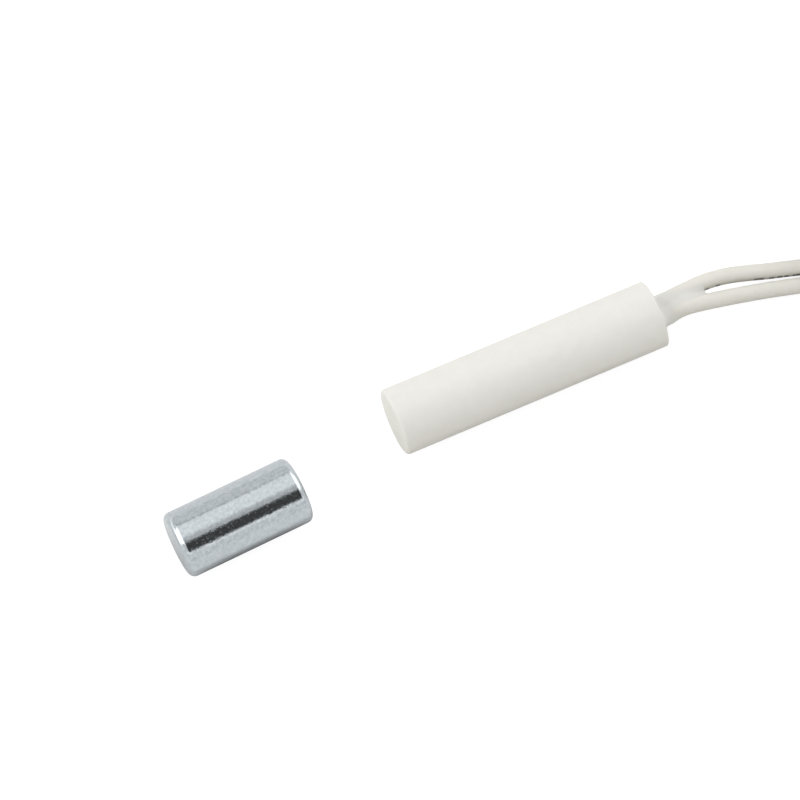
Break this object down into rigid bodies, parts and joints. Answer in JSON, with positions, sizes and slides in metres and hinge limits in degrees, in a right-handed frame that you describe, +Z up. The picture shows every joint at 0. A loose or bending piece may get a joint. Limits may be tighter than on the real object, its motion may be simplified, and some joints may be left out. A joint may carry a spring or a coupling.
{
  "type": "magnetic contact",
  "caption": "Recessed press-fit magnetic contact: reed switch in a white plastic capsule with wire leads, and its bare plated cylinder magnet.",
  "frame": {"origin": "centre of the capsule's flat sensing face, on the capsule's axis", "axes": "+X along the capsule's axis from the sensing face to the leads, +Z up from the surface that the capsule and the magnet lie on"},
  "size_m": [0.1017, 0.0142, 0.0094],
  "materials": {
    "housing_plastic": "satin white moulded plastic",
    "potting_resin": "semi-gloss cast resin",
    "reed_glass": "clear greenish glass",
    "sleeve_silicone": "soft translucent sleeve",
    "reed_alloy": "bright nickel-iron",
    "solder": "smooth solder",
    "copper": "stranded copper",
    "lead_pvc": "smooth off-white insulation",
    "tinned_strands": "tinned strands",
    "tie_nylon": "natural nylon",
    "magnet_plate": "satin zinc or nickel plate, faintly speckled"
  },
  "bodies": {
    "capsule": {"housing": "housing_plastic", "potting": "potting_resin", "reed_glass": "reed_glass", "glass_sleeve": "sleeve_silicone", "front_joint": "solder", "rear_joint": "solder", "lead_a_core": "copper", "lead_b_core": "copper", "lead_a_inside": "lead_pvc", "lead_b_inside": "lead_pvc", "lead_a_run": "lead_pvc", "lead_b_run": "lead_pvc", "lead_hank": "lead_pvc", "lead_a_tail": "lead_pvc", "lead_b_tail": "lead_pvc", "lead_a_strands": "tinned_strands", "lead_b_strands": "tinned_strands", "hank_tie": "tie_nylon"},
    "front_blade": {"front_reed": "reed_alloy"},
    "rear_blade": {"rear_reed": "reed_alloy"},
    "magnet": {"magnet": "magnet_plate"}
  },
  "joints": [
    {"name": "magnet_approach", "type": "slide", "parent": "capsule", "child": "magnet", "axis": [1, 0, 0], "range_m": [0, 0.0095]},
    {"name": "front_blade_flex", "type": "hinge", "parent": "capsule", "child": "front_blade", "pos_m": [0.00711, 0.00107, -0.00052], "axis": [0, 1, 0], "range_deg": [0, 0.49]},
    {"name": "rear_blade_flex", "type": "hinge", "parent": "capsule", "child": "rear_blade", "pos_m": [0.01649, 0.00107, -0.0007], "axis": [0, 1, 0], "range_deg": [0, 0.49]}
  ],
  "couplings": [
    {"joint": "front_blade_flex", "follows": "magnet_approach", "rad_per_m": 0.9},
    {"joint": "rear_blade_flex", "follows": "magnet_approach", "rad_per_m": 0.9}
  ]
}
